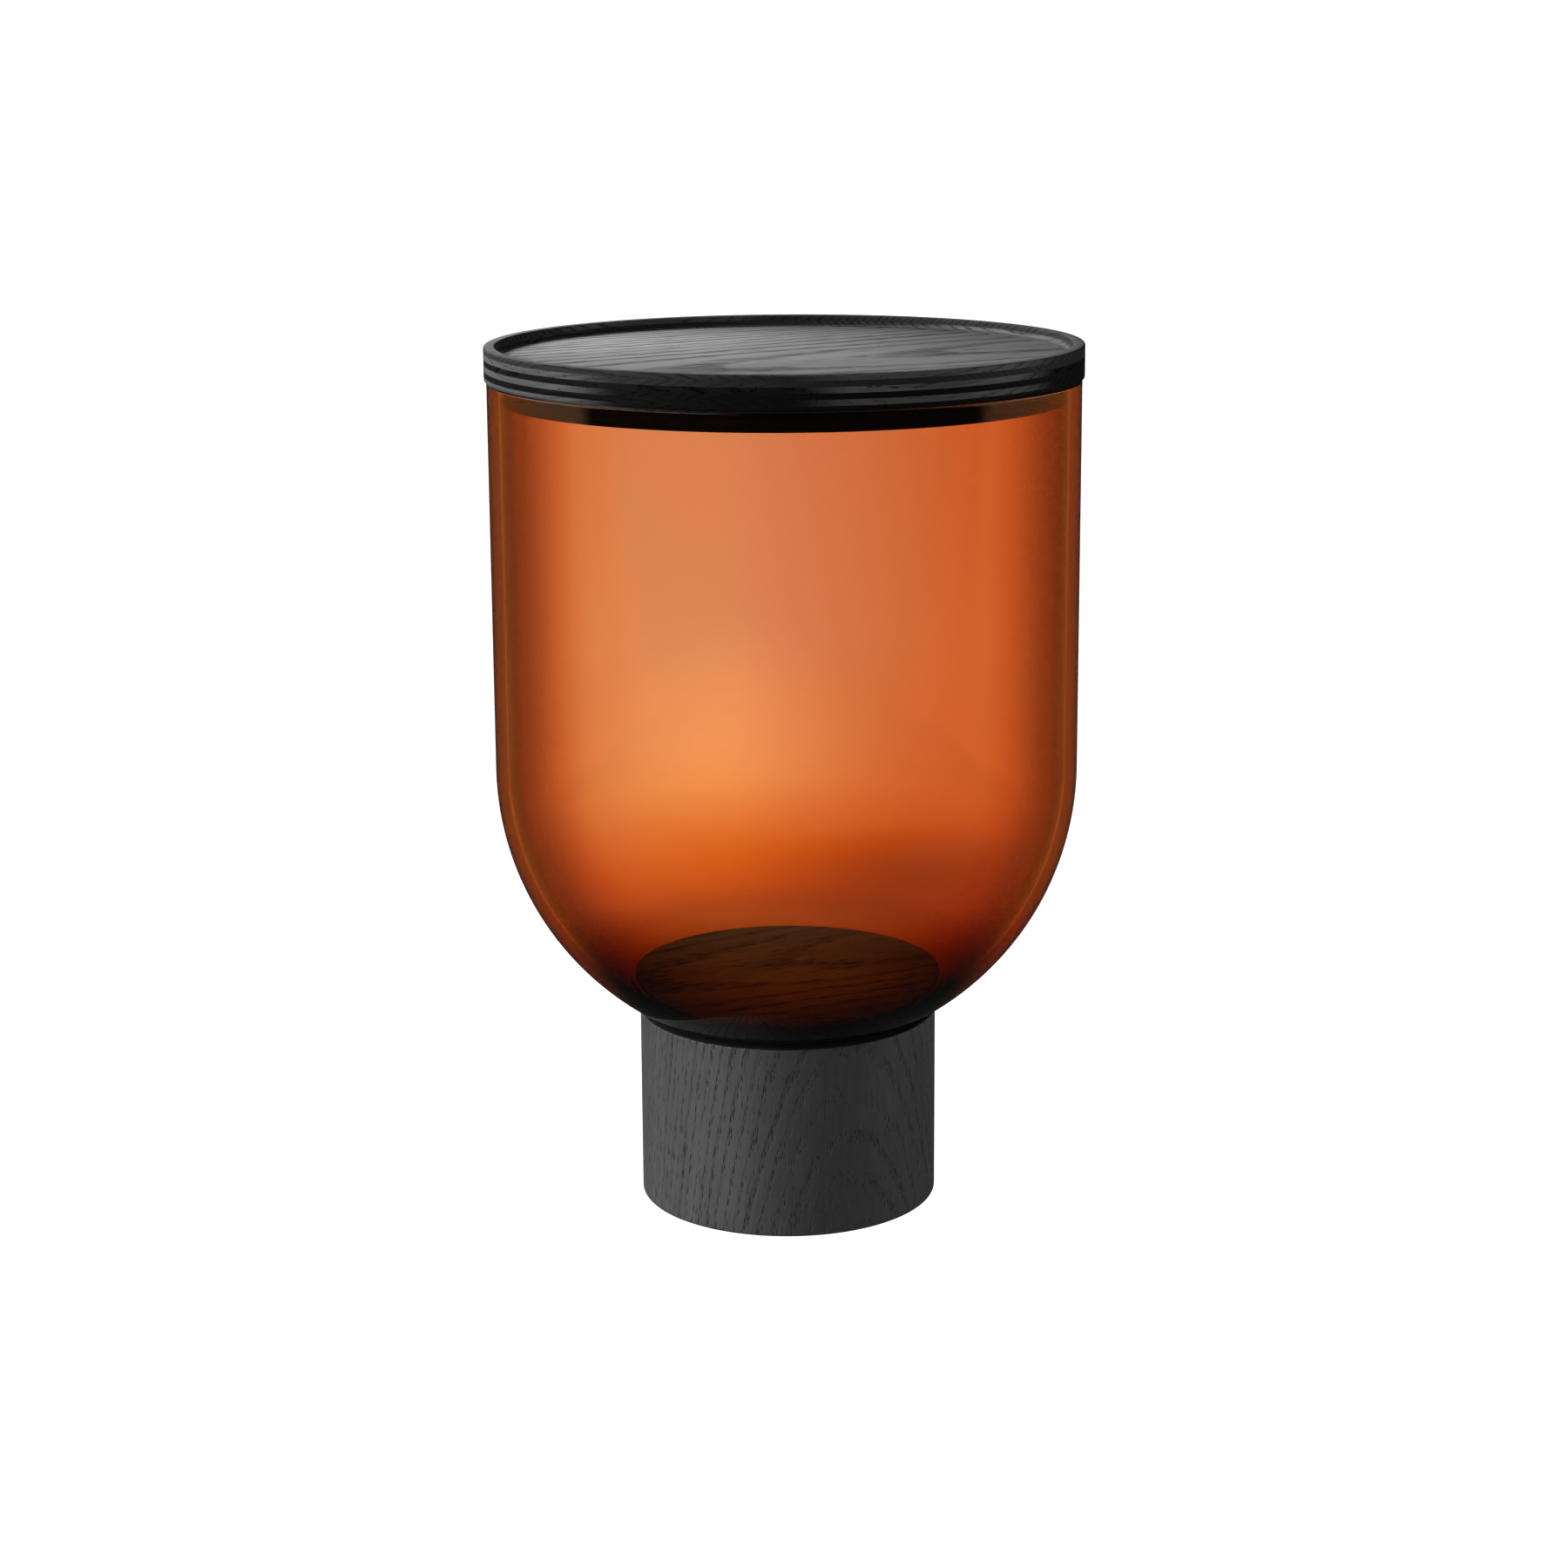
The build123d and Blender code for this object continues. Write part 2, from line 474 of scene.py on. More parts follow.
        shade = graph.math("MULTIPLY_ADD", early, -self.ring_shade, 1.0)
        for pattern, factor, rest in (
            (fibres, *FIBRE_TONE),
            (streaks, *STREAK_TONE),
            (patches, *PATCH_TONE),
            (pits, -self.pore_depth, 1.0),
            (end, -self.end_shade, 1.0),
        ):
            share = graph.math("MULTIPLY_ADD", pattern, factor, rest)
            shade = graph.math("MULTIPLY", shade, share)
        tint = graph.node("ShaderNodeVectorMath", operation="SCALE")
        graph.put(tint.inputs[0], self.colour)
        graph.put(tint.inputs["Scale"], shade)
        graph.put(shader.inputs["Base Color"], tint.outputs["Vector"])

        height = graph.math("MULTIPLY_ADD", pits, -1.0, 1.0)
        height = graph.math("MULTIPLY_ADD", early, -self.fine_relief, height)
        height = graph.math("MULTIPLY_ADD", fibres, self.fine_relief, height)
        bump = graph.node("ShaderNodeBump")
        graph.put(bump.inputs["Distance"], self.relief * MM)
        graph.put(bump.inputs["Height"], height)
        graph.put(shader.inputs["Normal"], bump.outputs["Normal"])
        rough = graph.math("MULTIPLY_ADD", early, self.early_roughness, self.roughness)
        rough = graph.math("MULTIPLY_ADD", pits, self.pit_roughness, rough)
        graph.put(shader.inputs["Roughness"], graph.math("MINIMUM", rough, 1.0))
        dull = -self.end_shade * self.specular
        gloss = graph.math("MULTIPLY_ADD", end, dull, self.specular)
        graph.put(shader.inputs["Specular IOR Level"], gloss)
        return material


@dataclass(frozen=True)
class AmberGlass:
    """Blown glass that is amber in the wall, partly painted shade edge on, painted shade
    at its heel.

    Each colour is what one wall lets through, and the three ramps are multiplied. The
    ramp by height is in millimetres, runs from low to high and darkens into painted
    shade at the heel; the ramp by angle runs from face on to edge on and is partly
    painted shade; and the ramp by side, painted light only, runs from the left side to
    the right.
    """

    name: str
    low: float
    high: float
    amber_and_shade_by_height: tuple[tuple[float, Rgb], ...]
    path_and_shade_by_angle: tuple[tuple[float, Rgb], ...]
    painted_light_by_side: tuple[tuple[float, Rgb], ...]
    side: float = 50.0
    ior: float = 1.5

    def material(self) -> bpy.types.Material:
        """Builds the material.

        Returns:
            The material.
        """
        material, graph, shader = new_material(self.name)
        place = graph.node("ShaderNodeTexCoord").outputs["Object"]
        axes = graph.node("ShaderNodeSeparateXYZ")
        graph.put(axes.inputs[0], place)
        span = self.high - self.low
        up, sideways = axes.outputs["Z"], axes.outputs["X"]
        level = graph.math("MULTIPLY_ADD", up, 1 / (span * MM), -self.low / span)
        across = graph.math("MULTIPLY_ADD", sideways, 0.5 / (self.side * MM), 0.5)
        weight = graph.node("ShaderNodeLayerWeight")
        graph.put(weight.inputs["Blend"], 0.5)
        heights = [((z - self.low) / span, colour) for z, colour in self.amber_and_shade_by_height]
        colour = graph.ramp(level, heights)
        # Edge on the wall darkens, partly from its longer path and partly painted shade.
        edge = graph.ramp(weight.outputs["Facing"], self.path_and_shade_by_angle)
        # Painted light that differs from the left side to the right.
        painted_sides = graph.ramp(across, self.painted_light_by_side)
        colour = graph.blend(1.0, colour, edge, "MULTIPLY")
        colour = graph.blend(1.0, colour, painted_sides, "MULTIPLY")
        graph.put(shader.inputs["Base Color"], colour)
        graph.put(shader.inputs["Roughness"], 0.0)
        graph.put(shader.inputs["IOR"], self.ior)
        graph.put(shader.inputs["Transmission Weight"], 1.0)
        return material


AMBER = AmberGlass(
    name="amber_glass",
    low=35.0,
    high=145.0,
    # The wall's amber, darkening below 63 mm into painted shade towards the heel.
    amber_and_shade_by_height=(
        (35.0, (0.32, 0.11, 0.03)),
        (38.0, (0.34, 0.10, 0.012)),
        (42.0, (0.40, 0.088, 0.005)),
        (45.0, (0.565, 0.135, 0.010)),
        (50.0, (0.685, 0.195, 0.029)),
        (63.0, (0.8, 0.39, 0.17)),
        (90.0, (0.815, 0.462, 0.285)),
        (145.0, (0.79, 0.422, 0.25)),
    ),
    # Darker edge on: partly the longer path through the wall, partly painted shade.
    path_and_shade_by_angle=(
        (0.0, (1.0, 1.0, 1.0)),
        (0.15, (0.98, 0.94, 0.92)),
        (0.29, (0.88, 0.76, 0.58)),
        (0.4, (0.70, 0.43, 0.21)),
        (0.52, (0.38, 0.175, 0.06)),
        (0.57, (0.34, 0.108, 0.0155)),
        (0.63, (0.25, 0.065, 0.006)),
        (0.7, (0.18, 0.042, 0.004)),
        (0.73, (0.085, 0.01, 0.001)),
        (1.0, (0.08, 0.01, 0.001)),
    ),
    # Painted light: the left side lets more through and the right side is redder.
    painted_light_by_side=(
        (0.0, (1.0, 1.0, 0.9)),
        (0.1, (1.01, 1.0, 0.97)),
        (0.2, (1.02, 1.09, 1.09)),
        (0.4, (1.0, 1.03, 1.03)),
        (0.5, (0.97, 0.95, 0.95)),
        (0.75, (0.94, 0.8, 0.68)),
        (0.85, (0.94, 0.77, 0.6)),
        (0.92, (1.0, 0.9, 0.7)),
        (1.0, (1.0, 0.9, 0.7)),
    ),
)

BASE_WOOD = StainedWood(
    name="black_ash_upright",
    grain=Grain.UPRIGHT,
    colour=(0.037, 0.036, 0.036),
    pith=(-18.2, 35.6, 0.0),
    tilt=(0.056, -0.109, 0.0),
    ring=1.0,
    wander=1.2,
    pore=0.26,
    pore_length=1.9,
    pore_share=0.32,
)
DISC_WOOD = StainedWood(
    name="black_ash_flat",
    grain=Grain.DISC,
    colour=(0.13, 0.12, 0.115),
    pith=(0.0, 6.0, -8.0),
    tilt=(0.0, 0.0, 0.05),
    ring=1.7,
    pore=0.45,
    pore_length=4.5,
    pore_share=0.35,
    pore_depth=0.8,
    relief=0.1,
)
# Lighter than the other plies: its stain, and partly a painted sheen of the tray's floor.
TRAY_WOOD = StainedWood(
    name="black_ply_tray",
    grain=Grain.END_PLY,
    colour=(0.06, 0.06, 0.06),
    specular=0.25,
    pith=(6.0, -12.0, 100.0),
    tilt=(0.0, 0.0, 0.04),
    ring=2.2,
    waver=0.18,
    pore=0.4,
    pore_length=9.0,
    relief=0.14,
    ring_shade=0.5,
    pore_share=0.35,
    pore_depth=0.85,
    end_shade=0.92,
    end_range=(0.25, 0.5),
)
END_PLY_WOOD = StainedWood(
    name="black_ply_end",
    grain=Grain.END_PLY,
    colour=(0.036, 0.036, 0.036),
    pith=(0.0, -20.0, 110.0),
    tilt=(0.0, 0.0, 0.03),
    ring=0.9,
    pore=0.22,
    pore_length=3.0,
    relief=0.05,
    end_shade=0.92,
    end_range=(0.25, 0.5),
)
LONG_PLY_WOOD = replace(
    END_PLY_WOOD,
    name="black_ply_long",
    grain=Grain.LONG_PLY,
    pith=(-20.0, 0.0, 105.0),
)
# The two ring plies darken less at the end grain: painted light on the tray's inner wall.
RIM_END_WOOD_PAINTED_LIGHT = replace(END_PLY_WOOD, name="black_ply_rim_end_painted_light", end_shade=0.7)
RIM_LONG_WOOD_PAINTED_LIGHT = replace(LONG_PLY_WOOD, name="black_ply_rim_long_painted_light", end_shade=0.7)
PLUG_PAINT = PlainFinish(
    name="black_plug",
    colour=(0.008, 0.007, 0.006),
    roughness=0.6,
    specular=0.1,
    grain=2.0,
    relief=0.02,
)
RUBBER = PlainFinish(
    name="black_rubber",
    colour=(0.004, 0.004, 0.004),
    roughness=0.9,
    specular=0.1,
    grain=6.0,
    relief=0.04,
)
SILICONE = PlainFinish(
    name="black_silicone",
    colour=(0.008, 0.008, 0.008),
    roughness=0.55,
    specular=0.12,
    grain=1.0,
    relief=0.01,
)
FELT = PlainFinish(
    name="black_felt",
    colour=(0.015, 0.015, 0.015),
    roughness=1.0,
    specular=0.05,
    grain=8.0,
    relief=0.1,
    sheen=0.3,
)
GEL = PlainFinish(
    name="clear_gel",
    colour=(0.5, 0.5, 0.48),
    roughness=0.3,
    specular=0.4,
    grain=1.0,
    relief=0.01,
)


# -------------------------------------------------------------------- lathed meshes


def arc(
    centre: tuple[float, float], radius: float, start: float, end: float, steps: int
) -> Profile:
    """Points on a circle in the half section.

    Args:
        centre: Its centre, as (radius, height).
        radius: Its radius.
        start: The first point's angle above level, in radians.
        end: The last point's.
        steps: How many pieces the arc is cut into.

    Returns:
        The points, the ends among them.
    """
    across, up = centre
    turns = [start + (end - start) * i / steps for i in range(steps + 1)]
    return [(across + radius * math.cos(t), up + radius * math.sin(t)) for t in turns]


def upright(radius: float, start: float, end: float, steps: int) -> Profile:
    """Evenly spaced points on a straight wall of the half section.

    Args:
        radius: The wall's radius.
        start: The first point's height.
        end: The last point's.
        steps: How many pieces the wall is cut into.

    Returns:
        The points, the ends among them.
    """
    return [(radius, start + (end - start) * i / steps) for i in range(steps + 1)]


def lathe(
    name: str, profile: Profile, segments: int = 256, sharp: float = 35.0
) -> bpy.types.Object:
    """Spins a half section once round the Z axis.

    Args:
        name: The object's name.
        profile: Points as (radius, height) in millimetres. A closed section repeats its
            first point, or starts and ends on the axis.
        segments: Faces round the axis.
        sharp: Edges that turn by more degrees than this stay sharp.

    Returns:
        The object.
    """
    mesh = bmesh.new()
    vertices = [mesh.verts.new((r * MM, 0.0, z * MM)) for r, z in profile]
    edges = [mesh.edges.new(pair) for pair in zip(vertices, vertices[1:])]
    bmesh.ops.spin(
        mesh,
        geom=vertices + edges,
        cent=(0, 0, 0),
        axis=(0, 0, 1),
        dvec=(0, 0, 0),
        angle=math.tau,
        steps=segments,
        use_merge=True,
        use_duplicate=False,
    )
    bmesh.ops.remove_doubles(mesh, verts=mesh.verts, dist=MERGE_DISTANCE)
    bmesh.ops.recalc_face_normals(mesh, faces=mesh.faces)
    data = bpy.data.meshes.new(name)
    mesh.to_mesh(data)
    mesh.free()
    data.shade_smooth()
    data.set_sharp_from_angle(angle=math.radians(sharp))
    made = bpy.data.objects.new(name, data)
    bpy.context.scene.collection.objects.link(made)
    return made


def extent(node: str) -> tuple[float, float, float]:
    """Radius, lowest and highest height of a round CAD node.

    Args:
        node: The node's name.

    Returns:
        The three lengths in millimetres.
    """
    low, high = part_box(node)
    return min(high.x, high.y, -low.x, -low.y) / MM, low.z / MM, high.z / MM


def dress(
    piece: bpy.types.Object, material: bpy.types.Material, body: str, node: str
) -> bpy.types.Object:
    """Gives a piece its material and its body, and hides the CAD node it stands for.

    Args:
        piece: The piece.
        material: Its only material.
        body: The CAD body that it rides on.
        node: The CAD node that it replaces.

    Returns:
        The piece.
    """
    piece.data.materials.clear()
    piece.data.materials.append(material)
    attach(piece, body)
    if piece.name != node:
        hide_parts(node)
    return piece


# -------------------------------------------------------------------- sub-assemblies


@dataclass
class JarGlass:
    """The jar: straight wall, round bottom, ground foot and fire-polished rim.

    A ring of faces as high as rim_gap parts the rim's arcs from the long wall, so that
    the wall's shading stays flat.
    """

    wall: float = 2.2
    heel: float = 2.0
    floor_corner: float = 10.0
    flat: float = 55.8
    rim_edge: float = 0.35
    rim_gap: float = 0.3
    segments: int = 288
    glass: AmberGlass = AMBER

    def profile(self, radius: float, bottom: float, rim: float) -> Profile:
        """The half section.

        Args:
            radius: Outside radius of the straight wall.
            bottom: Height of the ground underside.
            rim: Height of the rim.

        Returns:
            Points from the axis under the floor, round the rim, to the axis above it.
        """
        bore = radius - self.wall
        bowl = bottom + math.sqrt(radius**2 - (self.flat / 2) ** 2)
        points: Profile = [(0.0, bottom)]
        heel, heel_angle = self.corner(radius, bowl, bottom, self.heel)
        points += arc(heel, self.heel, -math.pi / 2, -heel_angle, 12)
        points += arc((0.0, bowl), radius, -heel_angle, 0.0, 72)[1:]
        edge = self.rim_edge
        straight = rim - edge - self.rim_gap
        points += upright(radius, bowl, straight, 6)[1:]
        points += arc((radius - edge, rim - edge), edge, 0.0, math.pi / 2, 6)
        points += arc((bore + edge, rim - edge), edge, math.pi / 2, math.pi, 6)
        points += upright(bore, straight, bowl, 6)[:-1]
        inner = bottom + self.wall
        corner, angle = self.corner(bore, bowl, inner, self.floor_corner)
        points += arc((0.0, bowl), bore, 0.0, -angle, 64)
        points += arc(corner, self.floor_corner, -angle, -math.pi / 2, 24)[1:]
        points.append((0.0, inner))
        return points

    @staticmethod
    def corner(
        bowl_radius: float, bowl_height: float, flat_height: float, size: float
    ) -> tuple[tuple[float, float], float]:
        """Where a rounded corner between a flat and the bowl has its centre.

        Args:
            bowl_radius: The bowl's radius.
            bowl_height: The height of its centre.
            flat_height: The height of the flat.
            size: The corner's radius.

        Returns:
            The centre, and how far below level the corner meets the bowl, in radians.
        """
        inset = bowl_radius - size
        drop = bowl_height - flat_height - size
        centre = (math.sqrt(inset**2 - drop**2), flat_height + size)
        return centre, math.asin(drop / inset)

    def build(self) -> None:
        """Builds the glass and dresses it."""
        radius, bottom, rim = extent("glass_jar")
        piece = lathe("jar_glass", self.profile(radius, bottom, rim), self.segments)
        dress(piece, self.glass.material(), "jar", "glass_jar")
        log.info("jar glass: %d faces", len(piece.data.polygons))


@dataclass
class TurnedBase:
    """The wood block, the pad that the glass is stuck down with, and the felt."""

    top_edge: float = 0.3
    foot_edge: float = 0.5
    edge_gap: float = 0.3
    top_border: float = 1.0
    felt_gap: float = 0.15
    felt_edge: float = 0.2
    pad_edge: float = 0.25
    wood: StainedWood = BASE_WOOD
    rubber: PlainFinish = RUBBER
    felt: PlainFinish = FELT

    def block(self) -> bpy.types.Object:
        """Builds the turned block, recessed for its felt.

        Returns:
            The piece.
        """
        radius, bottom, top = extent("base_block")
        felt_radius, _, felt_top = extent("foot_pad")
        recess = felt_radius + self.felt_gap
        foot, edge = self.foot_edge, self.top_edge
        low, high = bottom + foot + self.edge_gap, top - edge - self.edge_gap
        profile = [(0.0, felt_top), (recess, felt_top), (recess, bottom)]
        profile += arc((radius - foot, bottom + foot), foot, -math.pi / 2, 0, 5)
        profile += upright(radius, low, high, 4)
        profile += arc((radius - edge, top - edge), edge, 0, math.pi / 2, 4)
        profile += [(radius - self.top_border, top), (0.0, top)]
        return lathe("turned_block", profile, sharp=50.0)

    def build(self) -> None:
        """Builds and dresses the base's pieces."""
        dress(self.block(), self.wood.material(), "jar", "base_block")
        radius, bottom, top = extent("seat_pad")
        edge = self.pad_edge
        profile = [(0.0, bottom), (radius - edge, bottom), (radius, bottom + edge)]
        profile += [(radius, top - edge), (radius - edge, top), (0.0, top)]
        pad = lathe("glass_seat", profile, 192)
        dress(pad, self.rubber.material(), "jar", "seat_pad")
        radius, bottom, top = extent("foot_pad")
        edge = self.felt_edge
        profile = [(0.0, bottom), (radius - edge, bottom), (radius, bottom + edge)]
        profile += [(radius, top), (0.0, top)]
        felt = lathe("felt_foot", profile, 192)
        dress(felt, self.felt.material(), "jar", "foot_pad")
        log.info("base built")


@dataclass
class FloorDisc:
    """The thin wood disc on the jar's floor and the gel pad under it."""

    bevel_height: float = 0.4
    bevel_width: float = 1.25
    edge: float = 0.12
    top_border: float = 0.6
    wood: StainedWood = DISC_WOOD
    gel: PlainFinish = GEL

    def build(self) -> None:
        """Builds and dresses the disc and its pad."""
        radius, bottom, top = extent("floor_disc")
        edge = self.edge
        profile = [(0.0, bottom), (radius - self.bevel_width, bottom)]
        profile.append((radius, bottom + self.bevel_height))
        profile += arc((radius - edge, top - edge), edge, 0, math.pi / 2, 4)
        profile += [(radius - self.top_border, top), (0.0, top)]
        disc = lathe("wood_disc", profile)
        dress(disc, self.wood.material(), "jar", "floor_disc")
        radius, bottom, top = extent("disc_glue_pad")
        profile = [(0.0, bottom), (radius, bottom), (radius, top), (0.0, top)]
        pad = lathe("gel_pad", profile, 128)
        dress(pad, self.gel.material(), "jar", "disc_glue_pad")
        log.info("floor disc built")


@dataclass
class TrayLid:
    """Six plies glued face to face, the plug under them and its seal."""

    tray_wall: float = 2.0
    rim_edge: float = 0.35
    foot_edge: float = 0.45
    cove: float = 0.8
    cove_lip: float = 0.1
    groove_depth: float = 1.2
    plug_edge: float = 0.4
    seal_lip: float = 0.2
    ply_segments: int = 320
    end_wood: StainedWood = END_PLY_WOOD
    long_wood: StainedWood = LONG_PLY_WOOD
    tray_wood: StainedWood = TRAY_WOOD
    # Painted light: the ring plies are lighter copies of the ply woods.
    painted_light_rim_woods: tuple[StainedWood, StainedWood] = (RIM_LONG_WOOD_PAINTED_LIGHT, RIM_END_WOOD_PAINTED_LIGHT)
    paint: PlainFinish = PLUG_PAINT
    silicone: PlainFinish = SILICONE
    plies: list[bpy.types.Object] = field(default_factory=list)

    def whole_ply(self, index: int) -> Profile:
        """Half section of one of the four whole plies.

        Args:
            index: Its place in the stack, from 1 at the glass.

        Returns:
            The half section.
        """
        radius, bottom, top = extent(f"lid_ply_{index}")
        if index > 1:
            return [(0.0, bottom), (radius, bottom), (radius, top), (0.0, top)]
        foot = self.foot_edge
        side = arc((radius - foot, bottom + foot), foot, -math.pi / 2, 0, 6)
        return [(0.0, bottom), *side, (radius, top), (0.0, top)]

    def cove_ply(self) -> Profile:
        """Half section of the lower ring, whose inner side runs down to the tray's floor.

        Returns:
            The closed half section.
        """
        radius, bottom, top = extent("lid_ply_5")
        tray = radius - self.tray_wall
        centre = (tray - self.cove, bottom + self.cove_lip + self.cove)
        cove = arc(centre, self.cove, 0.0, -math.pi / 2, 10)
        start = (centre[0], bottom)
        return [start, (radius, bottom), (radius, top), (tray, top), *cove, start]

    def rim_ply(self) -> Profile:
        """Half section of the top ring, with rounded edges.

        Returns:
            The closed half section.
        """
        radius, bottom, top = extent("lid_ply_6")
        tray, edge = radius - self.tray_wall, self.rim_edge
        outer = arc((radius - edge, top - edge), edge, 0.0, math.pi / 2, 6)
        inner = arc((tray + edge, top - edge), edge, math.pi / 2, math.pi, 6)
        start = (tray, bottom)
        return [start, (radius, bottom), *outer, *inner, start]

    def build_plies(self) -> None:
        """Builds and dresses the six plies."""
        end, long = self.end_wood.material(), self.long_wood.material()
        rim_long, rim_end = (wood.material() for wood in self.painted_light_rim_woods)
        finishes = (long, end, long, self.tray_wood.material(), rim_long, rim_end)
        sections = {5: self.cove_ply(), 6: self.rim_ply()}
        for index in range(1, 7):
            section = sections.get(index) or self.whole_ply(index)
            piece = lathe(f"ply_{index}", section, self.ply_segments)
            dress(piece, finishes[index - 1], "lid", f"lid_ply_{index}")
            self.plies.append(piece)

    def build_plug(self) -> None:
        """Builds and dresses the plug and the seal in its groove."""
        radius, bottom, top = extent("lid_plug")
        seal_radius, seal_bottom, seal_top = extent("seal_ring")
        groove, edge, lip = radius - self.groove_depth, self.plug_edge, self.seal_lip
        profile = [(0.0, bottom), (radius - edge, bottom), (radius, bottom + edge)]
        profile += [(radius, seal_bottom), (groove, seal_bottom), (groove, seal_top)]
        profile += [(radius, seal_top), (radius, top), (0.0, top)]
        plug = lathe("plug", profile)
        dress(plug, self.paint.material(), "lid", "lid_plug")
        start = (groove, seal_bottom)
        low = arc((seal_radius - lip, seal_bottom + lip), lip, -math.pi / 2, 0, 4)
        high = arc((seal_radius - lip, seal_top - lip), lip, 0, math.pi / 2, 4)
        seal = lathe("seal", [start, *low, *high, (groove, seal_top), start])
        dress(seal, self.silicone.material(), "lid", "seal_ring")

    def build(self) -> None:
        """Builds the whole lid."""
        self.build_plies()
        self.build_plug()
        log.info("lid built: %d plies", len(self.plies))


# -------------------------------------------------------------------- studio


@dataclass(frozen=True)
class SoftBox:
    """A soft patch of light in the sky.

    It is fully bright within the inner angle, in degrees, and fades to nothing at the
    outer one.
    """

    towards: tuple[float, float, float]
    inner: float
    outer: float
    strength: float


@dataclass(frozen=True)
class PaintedFloorSpot:
    """A soft oval of painted light or shadow on the floor, lighter or darker than the
    rest, in metres.
    """

    centre: tuple[float, float]
    reach: tuple[float, float]
    change: Rgb

    def share(self, graph: Graph, place: Socket) -> Socket:
        """How much of the oval is felt at a place.

        Args:
            graph: The floor's graph.
            place: Where, in metres.

        Returns:
            1 at the centre and 0 from the rim out.
        """
        moved = graph.vector("SUBTRACT", place, (*self.centre, 0.0)).outputs["Vector"]
        scaled = graph.stretched(moved, (1 / self.reach[0], 1 / self.reach[1], 0.0))
        return graph.clamped(graph.vector("LENGTH", scaled).outputs["Value"], 1.0, 0.0)


@dataclass(frozen=True)
class NearLamp:
    """A small round lamp that lights wood and is not seen itself, in metres and watts."""

    name: str
    place: tuple[float, float, float]
    target: tuple[float, float, float]
    size: float
    power: float
    spread: float = 60.0

    def build(self) -> None:
        """Makes the lamp and aims it."""
        data = bpy.data.lights.new(self.name, "AREA")
        data.shape = "DISK"
        data.size = self.size
        data.energy = self.power
        data.spread = math.radians(self.spread)
        lamp = bpy.data.objects.new(self.name, data)
        lamp.location = self.place
        aim = Vector(self.target) - Vector(self.place)
        lamp.rotation_euler = aim.to_track_quat("-Z", "Y").to_euler()
        lamp.visible_camera = False
        lamp.visible_transmission = False
        lamp.visible_glossy = False
        bpy.context.scene.collection.objects.link(lamp)


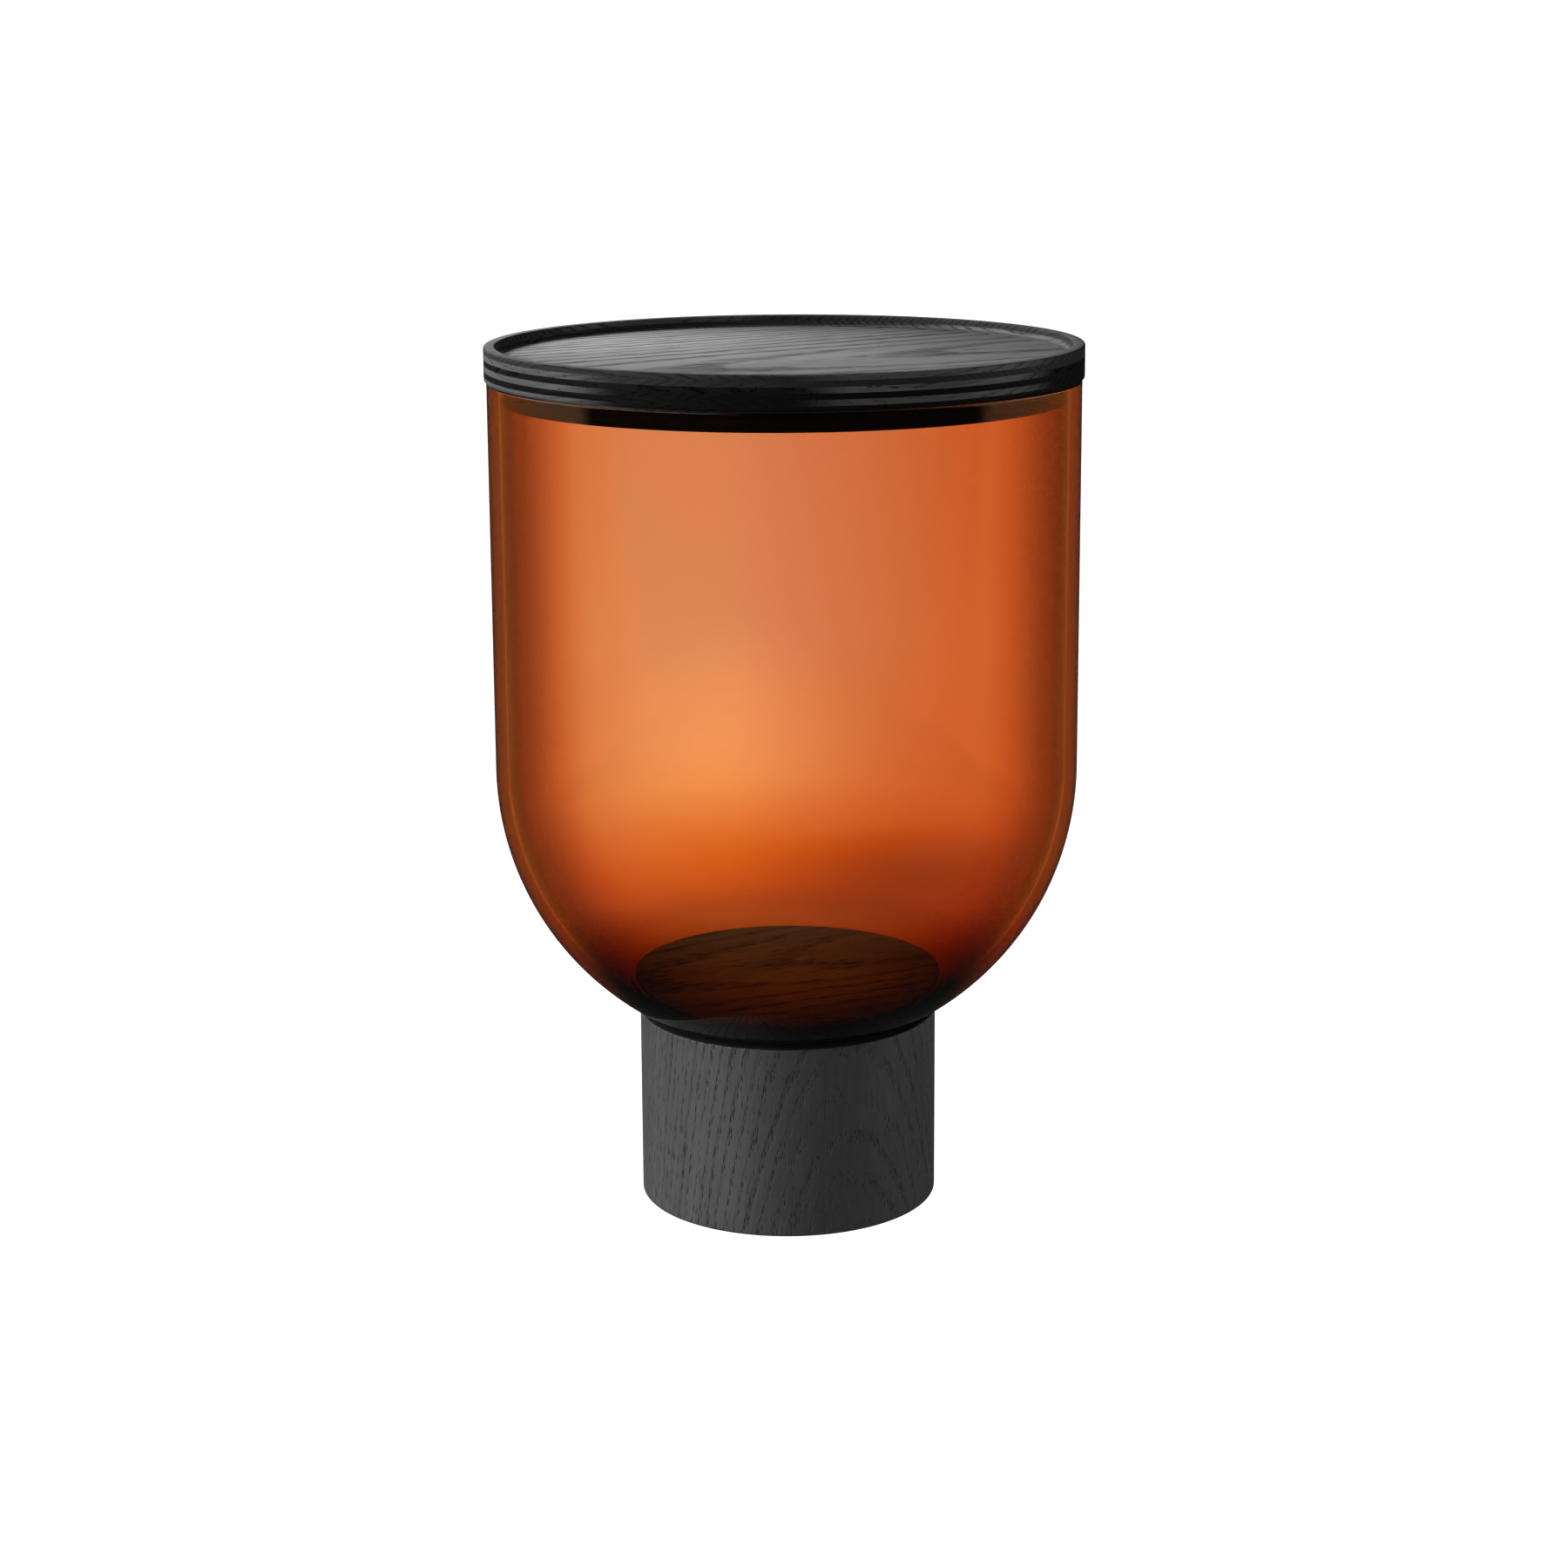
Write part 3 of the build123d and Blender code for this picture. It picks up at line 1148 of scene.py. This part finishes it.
@dataclass
class Studio:
    """A white floor with painted light and shade, a backdrop, soft light from left and
    right, a camera.

    The camera's distance and height are in millimetres, its tilt in degrees and its roll
    in radians. Light that the glass mirrors off the floor near the base, or in front of
    the jar, is held back, so that the disc and the plug show through it.
    """

    boxes: tuple[SoftBox, ...] = (
        SoftBox((-1.0, -0.35, 0.25), 25.0, 58.0, 4.6),
        SoftBox((-0.8, 1.0, 0.3), 5.0, 50.0, 1.15),
        SoftBox((1.0, 0.15, -0.2), 10.0, 40.0, 3.2),
    )
    ambient: float = 0.02
    backdrop: float = 1.05
    dulling: float = 0.8
    # Painted pool of light on the floor far behind the jar, seen through the glass.
    painted_light_pool: PaintedFloorSpot = PaintedFloorSpot((-0.02, 0.33), (0.06, 0.24), (0.24, 0.4, 0.42))
    # Painted shadow of the jar on the floor, behind it and to the right.
    shade: PaintedFloorSpot = PaintedFloorSpot((0.036, 0.19), (0.05, 0.07), (-0.42, -0.44, -0.44))
    floor_size: float = 200.0
    glow: float = 1.3
    # Painted shadow seen only by mirrored rays: near the base, and in front of the jar.
    mirrored_floor_shadow: tuple[float, float] = (0.055, 0.11)
    mirrored_front_shadow: tuple[float, float] = (0.05, 0.25)
    # Painted reflection: reflected rays see the floor as a faint green glow, this strong.
    sheen: float = 0.02
    painted_reflection_tint: Rgb = (0.75, 1.0, 0.85)
    horizon: float = 0.06
    distance: float = 530.3
    height: float = 203.1
    focal: float = 72.41
    tilt: float = 12.33
    shift: tuple[float, float] = (0.0011, -0.05)
    roll: float = 0.0057
    bounces: int = 24
    glass_bounces: int = 20
    lamps: tuple[NearLamp, ...] = (
        NearLamp(
            name="tray_lamp",
            place=(-0.09, 0.07, 0.2),
            target=(-0.01, 0.0, 0.148),
            size=0.06,
            power=0.17,
        ),
        NearLamp(
            name="disc_lamp",
            place=(-0.008, -0.015, 0.137),
            target=(-0.002, -0.012, 0.039),
            size=0.03,
            power=0.0055,
        ),
    )

    def build_sky(self) -> None:
        """Makes the world: white to look at, directional for what it lights."""
        world = bpy.data.worlds.new("studio")
        bpy.context.scene.world = world
        world.use_nodes = True
        graph = Graph(world.node_tree)
        towards = graph.node("ShaderNodeTexCoord").outputs["Generated"]
        total: Value = self.ambient
        for box in self.boxes:
            near = graph.dot(towards, tuple(Vector(box.towards).normalized()))
            inner, outer = math.radians(box.inner), math.radians(box.outer)
            patch = graph.clamped(near, math.cos(outer), math.cos(inner))
            total = graph.math("MULTIPLY_ADD", patch, box.strength, total)
        height = graph.dot(towards, (0.0, 0.0, 1.0))
        path = graph.node("ShaderNodeLightPath")
        below = graph.clamped(height, self.horizon, -self.horizon)
        glossy = path.outputs["Is Glossy Ray"]
        mirrored = graph.math("MULTIPLY", glossy, path.outputs["Is Reflection Ray"])
        hidden = graph.math("MULTIPLY", below, mirrored)
        inside = graph.math("GREATER_THAN", path.outputs["Glossy Depth"], 0.5)
        inside = graph.math("MULTIPLY", inside, path.outputs["Is Transmission Ray"])
        hidden = graph.math("MAXIMUM", hidden, inside)
        sharp = graph.math("MULTIPLY", path.outputs["Is Singular Ray"], self.dulling)
        hidden = graph.math("MAXIMUM", hidden, graph.math("MULTIPLY", sharp, mirrored))
        total = graph.math("MULTIPLY", total, graph.math("SUBTRACT", 1.0, hidden))
        through = path.outputs["Is Transmission Ray"]
        seen = graph.math("MAXIMUM", path.outputs["Is Camera Ray"], through)
        diffuse = path.outputs["Diffuse Depth"]
        bounces = graph.math("ADD", diffuse, path.outputs["Glossy Depth"])
        seen = graph.math("MULTIPLY", seen, graph.math("LESS_THAN", bounces, 0.5))
        strength = graph.math(
            "ADD",
            graph.math("MULTIPLY", total, graph.math("SUBTRACT", 1.0, seen)),
            graph.math("MULTIPLY", seen, self.backdrop),
        )
        background = graph.node("ShaderNodeBackground")
        graph.put(background.inputs["Color"], WHITE)
        graph.put(background.inputs["Strength"], strength)
        output = graph.node("ShaderNodeOutputWorld")
        graph.put(output.inputs["Surface"], background.outputs["Background"])

    def build_floor(self) -> None:
        """Makes the floor, which glows a little to stay pale, with painted light and
        shadow on it.
        """
        mesh = bmesh.new()
        bmesh.ops.create_grid(mesh, x_segments=1, y_segments=1, size=self.floor_size)
        data = bpy.data.meshes.new("floor")
        mesh.to_mesh(data)
        mesh.free()
        floor = bpy.data.objects.new("floor", data)
        bpy.context.scene.collection.objects.link(floor)
        floor.visible_diffuse = False
        material, graph, shader = new_material("pale_floor")
        place = graph.node("ShaderNodeTexCoord").outputs["Object"]
        light: Value = WHITE
        # The painted pool of light and the painted shadow.
        for spot in (self.painted_light_pool, self.shade):
            full = tuple(1.0 + change for change in spot.change)
            tinted = graph.blend(spot.share(graph, place), WHITE, full)
            light = graph.blend(1.0, light, tinted, "MULTIPLY")
        graph.put(shader.inputs["Base Color"], BLACK)
        graph.put(shader.inputs["Roughness"], 1.0)
        graph.put(shader.inputs["Specular IOR Level"], 0.0)
        # Painted reflection: to reflected rays the floor is a faint green glow, not
        # white.
        path = graph.node("ShaderNodeLightPath")
        glossy = path.outputs["Is Reflection Ray"]
        light = graph.blend(glossy, light, self.painted_reflection_tint)
        graph.put(shader.inputs["Emission Color"], light)
        # Painted shadow: mirrored rays see the floor dark near the base and in front.
        mirrored = graph.math("GREATER_THAN", path.outputs["Glossy Depth"], 0.5)
        away = graph.vector("LENGTH", place).outputs["Value"]
        inner, outer = self.mirrored_floor_shadow
        near = graph.clamped(away, outer, inner)
        ahead = graph.dot(place, (0.0, -1.0, 0.0))
        near = graph.math("MAXIMUM", near, graph.clamped(ahead, *self.mirrored_front_shadow))
        hidden = graph.math("MULTIPLY", mirrored, near)
        hidden = graph.math("MAXIMUM", hidden, glossy)
        glow = graph.math("MULTIPLY_ADD", hidden, -self.glow, self.glow)
        glow = graph.math("MULTIPLY_ADD", glossy, self.sheen, glow)
        graph.put(shader.inputs["Emission Strength"], glow)
        data.materials.append(material)

    def build_camera(self) -> None:
        """Makes the camera, which looks down at the jar and is rolled a little."""
        data = bpy.data.cameras.new("camera")
        data.sensor_width = 36.0
        data.lens = self.focal
        data.shift_x, data.shift_y = self.shift
        data.clip_start, data.clip_end = 0.01, 1000.0
        camera = bpy.data.objects.new("camera", data)
        camera.location = (0.0, -self.distance * MM, self.height * MM)
        camera.rotation_euler = (math.pi / 2 - math.radians(self.tilt), self.roll, 0.0)
        bpy.context.scene.collection.objects.link(camera)
        bpy.context.scene.camera = camera

    def build(self) -> None:
        """Builds the studio."""
        self.build_sky()
        self.build_floor()
        for lamp in self.lamps:
            lamp.build()
        self.build_camera()
        scene = bpy.context.scene
        scene.view_settings.view_transform = "Standard"
        scene.cycles.max_bounces = self.bounces
        scene.cycles.transmission_bounces = self.glass_bounces


def main() -> None:
    """Builds every sub-assembly."""
    logging.basicConfig(level=logging.INFO, format="%(name)s: %(message)s")
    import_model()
    JarGlass().build()
    TurnedBase().build()
    FloorDisc().build()
    TrayLid().build()
    Studio().build()


if __name__ == "__main__":
    main()
